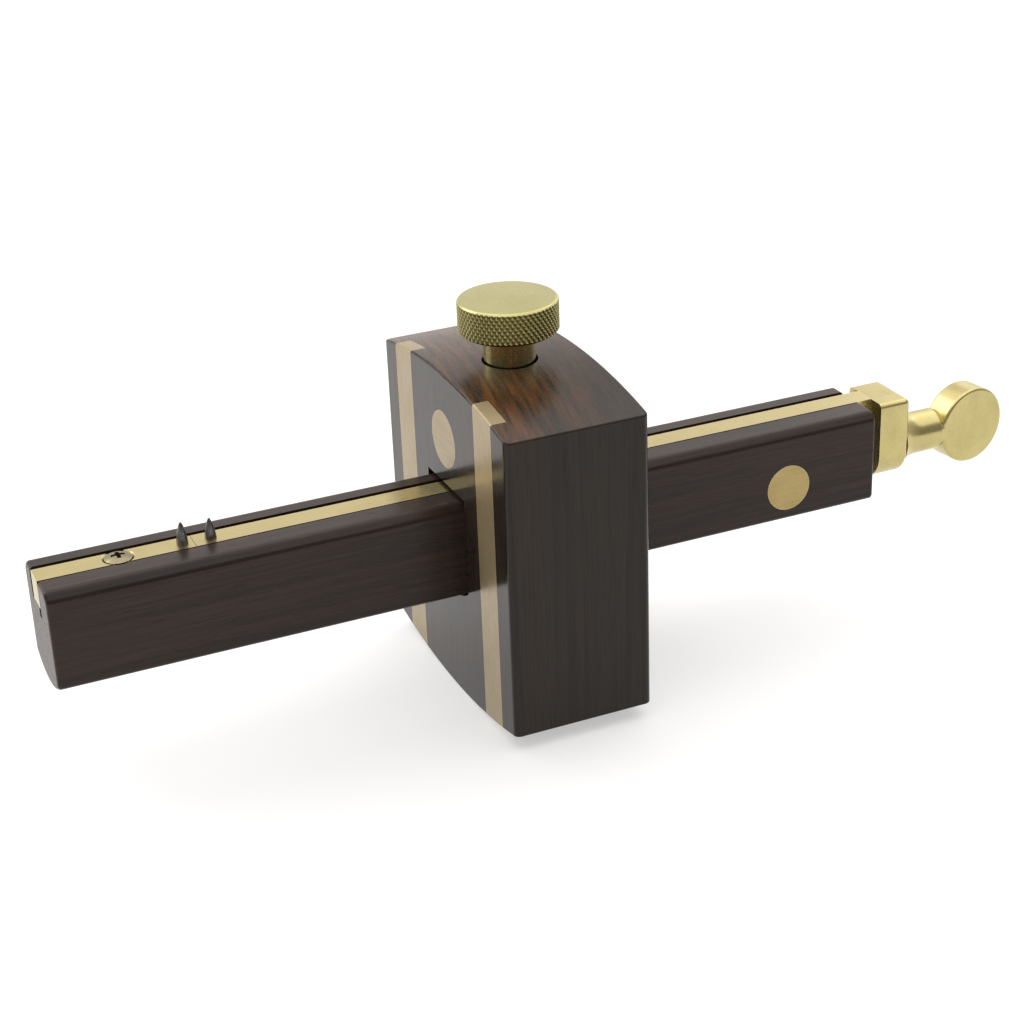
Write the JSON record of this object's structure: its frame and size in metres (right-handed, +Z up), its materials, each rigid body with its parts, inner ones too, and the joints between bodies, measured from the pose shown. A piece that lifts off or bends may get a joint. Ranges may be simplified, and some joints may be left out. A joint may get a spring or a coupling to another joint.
{
  "type": "marking gauge",
  "caption": "Mortise gauge with a dark hardwood stem and arched head, steel marking pins, a brass pin slide with a thumb pull, and a knurled brass clamp screw.",
  "frame": {"origin": "middle of the tool's overall length and width, at the lowest point of the arched head", "axes": "+X along the stem from the marking pins towards the thumb pull, +Z up along the clamp screw, +Y across the stem"},
  "size_m": [0.2319, 0.0666, 0.0888],
  "materials": {
    "stem_wood": "polished dark rosewood, fine lengthwise grain",
    "head_wood": "polished dark rosewood, grain across the head",
    "bar_brass": "drawn brass bar, filed flush and brushed lengthwise",
    "strip_brass": "brass strip, sanded flush with the wood",
    "inlay_brass": "brass disc, sanded flush with the wood",
    "cast_brass": "cast brass, buffed",
    "knob_brass": "turned brass, satin top, diamond knurled rim",
    "screw_brass": "turned brass",
    "pin_steel": "hardened steel, dark"
  },
  "bodies": {
    "stem": {"stem_bar": "stem_wood", "stem_side_disc": "inlay_brass", "pin_plate": "bar_brass", "plate_screw": "screw_brass", "fixed_pin": "pin_steel"},
    "slide": {"slide_bar": "bar_brass", "slide_end_block": "cast_brass", "thumb_pull": "cast_brass", "moving_pin": "pin_steel"},
    "head": {"head_block": "head_wood", "face_strip_front": "strip_brass", "face_strip_back": "strip_brass", "face_disc": "inlay_brass", "threaded_bush": "screw_brass"},
    "pad": {"clamp_pad": "screw_brass"},
    "screw": {"thumb_screw": "knob_brass"}
  },
  "joints": [
    {"name": "head_slide", "type": "slide", "parent": "stem", "child": "head", "axis": [1, 0, 0], "range_m": [-0.025, 0.065]},
    {"name": "pin_slide", "type": "slide", "parent": "stem", "child": "slide", "axis": [1, 0, 0], "range_m": [0, 0.025]},
    {"name": "pad_lift", "type": "slide", "parent": "head", "child": "pad", "axis": [0, 0, 1], "range_m": [0, 0.001]},
    {"name": "screw_turn", "type": "hinge", "parent": "pad", "child": "screw", "pos_m": [-0.0108, 0, 0.0786], "axis": [0, 0, 1], "range_deg": [0, 289]}
  ],
  "couplings": [
    {"joint": "screw_turn", "follows": "pad_lift", "rad_per_m": 5026.5}
  ]
}
